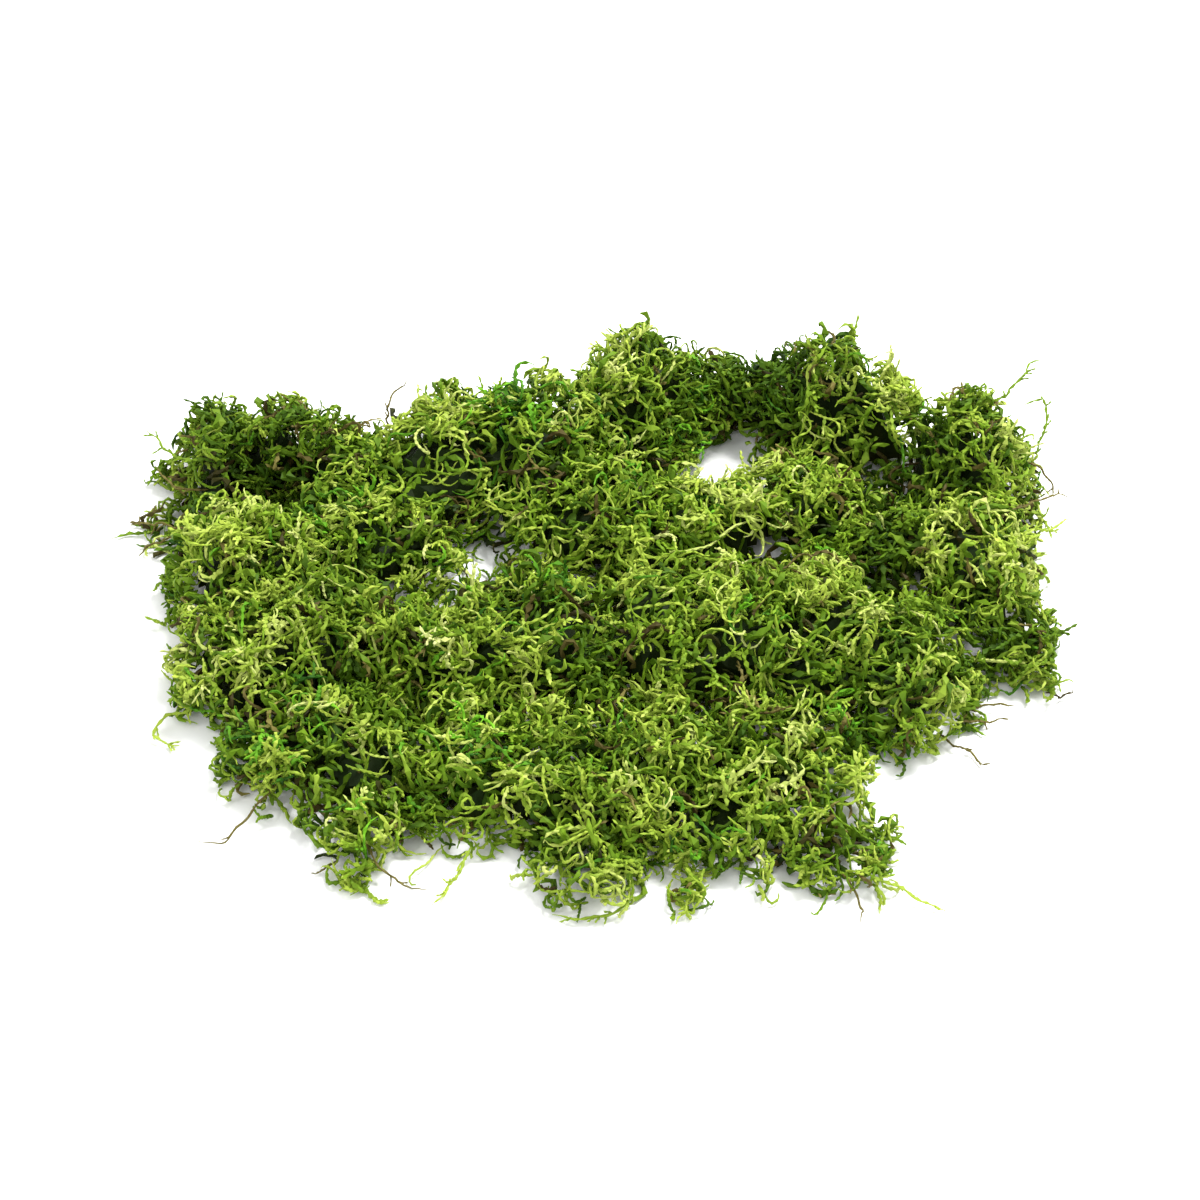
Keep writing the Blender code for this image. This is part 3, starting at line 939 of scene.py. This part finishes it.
# %% Threads
THREAD_POINTS = 24
THREAD_RISE, THREAD_SINK = 1.6, 0.4    # mm over the top in the middle, and under it at both ends
THREADS = (
    ((-66, 9), (-74, 12), (-81, 11), (-83, 4), (-79, -3), (-74, -1)),
    ((-82, -20), (-84, -13), (-87, -9), (-89, -15), (-87, -22), (-83, -30), (-78, -38)),
    ((-67, -20), (-64, -30), (-59, -38), (-52, -46)),
    ((20, 12), (28, 14), (36, 21), (47, 28)),
    ((86, -12), (92, -15), (96, -20), (99, -26)),
)


def resampled(line, points):
    """The line as that many evenly spaced points."""
    run = np.concatenate([[0], np.cumsum(np.linalg.norm(np.diff(line, axis=0), axis=1))])
    even = np.linspace(0, run[-1], points)
    return np.stack([np.interp(even, run, line[:, axis]) for axis in range(line.shape[1])], 1)


def rounded(line, times=3):
    """The line with its corners cut, again and again, until it is a smooth curve."""
    for _ in range(times):
        near, far = 0.75 * line[:-1] + 0.25 * line[1:], 0.25 * line[:-1] + 0.75 * line[1:]
        line = np.concatenate([line[:1], np.stack([near, far], 1).reshape(-1, line.shape[1]), line[-1:]])
    return line


def lay_threads(count):
    """Long pale stems that lie over the rest: that many by chance, and the placed ones."""
    places = root_places(count, surface_weight)
    depth = rng.uniform(0.5, 1.5, count)
    depths = np.stack([depth, rng.uniform(-0.3, 0.6, count)], 1)
    wild = grow(rooted(places, depth), any_way(count, 0.1), rng.uniform(14, 26, count),
                points=THREAD_POINTS, depths=depths, curl=0.12, hold=0.4)
    routes = np.array([resampled(rounded(np.array(route, float)), THREAD_POINTS) for route in THREADS])
    over = field_at(blurred(reach_height, 2), routes.reshape(-1, 2)).reshape(len(THREADS), THREAD_POINTS)
    hump = np.sin(math.pi * np.linspace(0, 1, THREAD_POINTS)) ** 0.5
    placed = np.dstack([routes, over + (THREAD_RISE * hump - THREAD_SINK)])
    lines = np.concatenate([wild, placed])
    count = len(lines)
    tone = np.clip(rng.normal(0.70, 0.02, count), 0.6, 0.76)
    tubes = leafy_tubes(lines, rng.uniform(0.38, 0.55, count), tone, leaf=0.14, taper=0.4, age=(0.5, 1.0))
    return add_layer(lines, tubes)


# %% Growing every layer
made = {
    "felt": lay_felt(),
    "underside": lay_underside(2200),
    "inside": fill_inside(3600),
    "cover": cover_top(5100, bunch=7),
    "runners": lay_runners(1100),
    "rim": curl_over_rim(1000),
    "threads": lay_threads(24),
}
print("triangles:", made, sum(made.values()))


# %% [markdown]
# ## One mesh for each tuft
# Each tuft's shoots are joined into one mesh that takes the place of the tuft's plain solid. Hair or
# scattered copies would be easier to make, but they are no mesh that another program can read. Two maps carry
# the tone and age to every corner. They are alike: the material reads the first, and the second is there for
# anyone who bakes the colours to a picture, so that every shoot of one tone shares one strip of it.

# %% Building meshes
def make_piece(name, groups, finish):
    """A mesh object from groups of (points in mm, faces, tints)."""
    starts = np.cumsum([0] + [len(points) for points, _, _ in groups])
    points = np.concatenate([points for points, _, _ in groups]) * MM
    corners = np.concatenate([faces + start for (_, faces, _), start in zip(groups, starts)]).ravel()
    tints = np.concatenate([tints for _, _, tints in groups])
    mesh = bpy.data.meshes.new(name)
    mesh.vertices.add(len(points))
    mesh.vertices.foreach_set("co", points.astype(np.float32).ravel())
    mesh.loops.add(len(corners))
    mesh.loops.foreach_set("vertex_index", corners.astype(np.int32))
    mesh.polygons.add(len(corners) // 3)
    mesh.polygons.foreach_set("loop_start", np.arange(0, len(corners), 3, dtype=np.int32))
    mesh.update(calc_edges=True)
    for layer_name in ("tone_and_age", "OFBake"):
        layer = mesh.uv_layers.new(name=layer_name)
        layer.uv.foreach_set("vector", tints[corners].astype(np.float32).ravel())
    mesh.shade_flat()
    mesh.materials.append(finish)
    piece = bpy.data.objects.new(name, mesh)
    bpy.context.scene.collection.objects.link(piece)
    return piece


# %% The tufts
total = 0
for name, groups in zip(tufts, parts_of_tuft):
    piece = make_piece(name.replace("tuft_", "moss_"), groups, finishes[slot_of[name]])
    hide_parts(name)
    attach(piece, "root")
    total += len(piece.data.polygons)
    print(f"{piece.name}: {len(piece.data.polygons)} triangles")

# %% [markdown]
# ## Stray shoots
# A few single stems hang out of the rim. The model holds each as a plain tube, so its line is found again by
# cutting the tube into slices by the distance from its thick end and taking the middle of each slice. Such a
# line is too smooth for a dried stem, so it gets a small wobble, and then short twigs like the other shoots.

# %% Reading a tube's line
MAT_HEART = (0, 0, 10)    # mm, the end of a stray shoot that is nearer to this point is its thick end
SLICE = 2.2               # mm of the shoot's length to a slice


def tube_line(name):
    """The middle line of a tube node, in mm, from its thick end to its thin end."""
    mesh = frame["nodes"][name].data
    places = np.array([v.co for v in mesh.vertices]) / MM
    keys, same = np.unique(np.round(places, 3), axis=0, return_inverse=True)
    same = same.ravel()
    edges = np.unique(np.sort(same[np.array([e.vertices for e in mesh.edges])], axis=1), axis=0)
    edges = edges[edges[:, 0] != edges[:, 1]]
    length = np.linalg.norm(keys[edges[:, 0]] - keys[edges[:, 1]], axis=1)
    start = np.argmin(((keys - np.array(MAT_HEART)) ** 2).sum(1))
    away = np.full(len(keys), np.inf)
    away[start] = 0
    for _ in range(len(keys)):
        before = away.copy()
        np.minimum.at(away, edges[:, 0], away[edges[:, 1]] + length)
        np.minimum.at(away, edges[:, 1], away[edges[:, 0]] + length)
        if np.allclose(before, away):
            break
    slices = max(3, int(away.max() / SLICE))
    band = np.minimum((away / (away.max() + 1e-6) * slices).astype(int), slices - 1)
    return np.array([keys[band == number].mean(0) for number in range(slices) if (band == number).any()])


def softened(noise):
    """Noise along a line, evened out so that it bends the line instead of jagging it."""
    for _ in range(3):
        noise = 0.25 * np.roll(noise, 1, 1) + 0.5 * noise + 0.25 * np.roll(noise, -1, 1)
    return noise


# %% The stray shoots
ROOT_LENGTH = 7.0      # mm of each stray shoot that is inside the mat
STRAY_POINTS = 22
WOBBLE = 1.0           # mm, before it is softened
STRAY_TONE = {"moss_stem": 0.20, "moss_lime": 0.60, "moss_olive": 0.48, "moss_green": 0.52}
BARE_STEM = (0.12, 0.40, 3)       # how far its leaves stand out, its radius in mm and its number of twigs
LEAFY_STRAY = (0.3, 0.5, 9)       # the same for the others

for name in strays:
    line = tube_line(name)
    start = line[0] - line[1]
    start = start / np.linalg.norm(start) * ROOT_LENGTH
    line = np.concatenate([[line[0] + start * (1, 1, 0.3)], line])
    line = resampled(line, STRAY_POINTS)[None]
    line[..., 2] = np.maximum(line[..., 2], LOWEST)
    slot = slot_of[name]
    leaf, radius, twigs = BARE_STEM if slot == "moss_stem" else LEAFY_STRAY
    line = line + softened(rng.normal(0, WOBBLE, line.shape)) * (1, 1, 0.4)
    line[..., 2] = np.maximum(line[..., 2], LOWEST)
    chosen, at = np.zeros(twigs, int), rng.integers(2, 20, twigs)
    small = branchlets(line, chosen, at, rng.uniform(1.5, 4.0, twigs), points=5,
                       spread=rng.uniform(0.4, 1.0, twigs), bend=0.2)
    groups = []
    for lines, size in ((line, radius), (small, 0.7 * radius)):
        sizes, tones = np.full(len(lines), size), np.full(len(lines), STRAY_TONE[slot])
        groups.append(leafy_tubes(lines, sizes, tones, leaf, taper=0.4, age=(0.2, 0.9)))
    piece = make_piece(name.replace("shoot_", "stray_"), groups, finishes[slot])
    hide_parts(name)
    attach(piece, "root")
    total += len(piece.data.polygons)
print(f"{len(strays)} stray shoots, and {total} triangles in all")
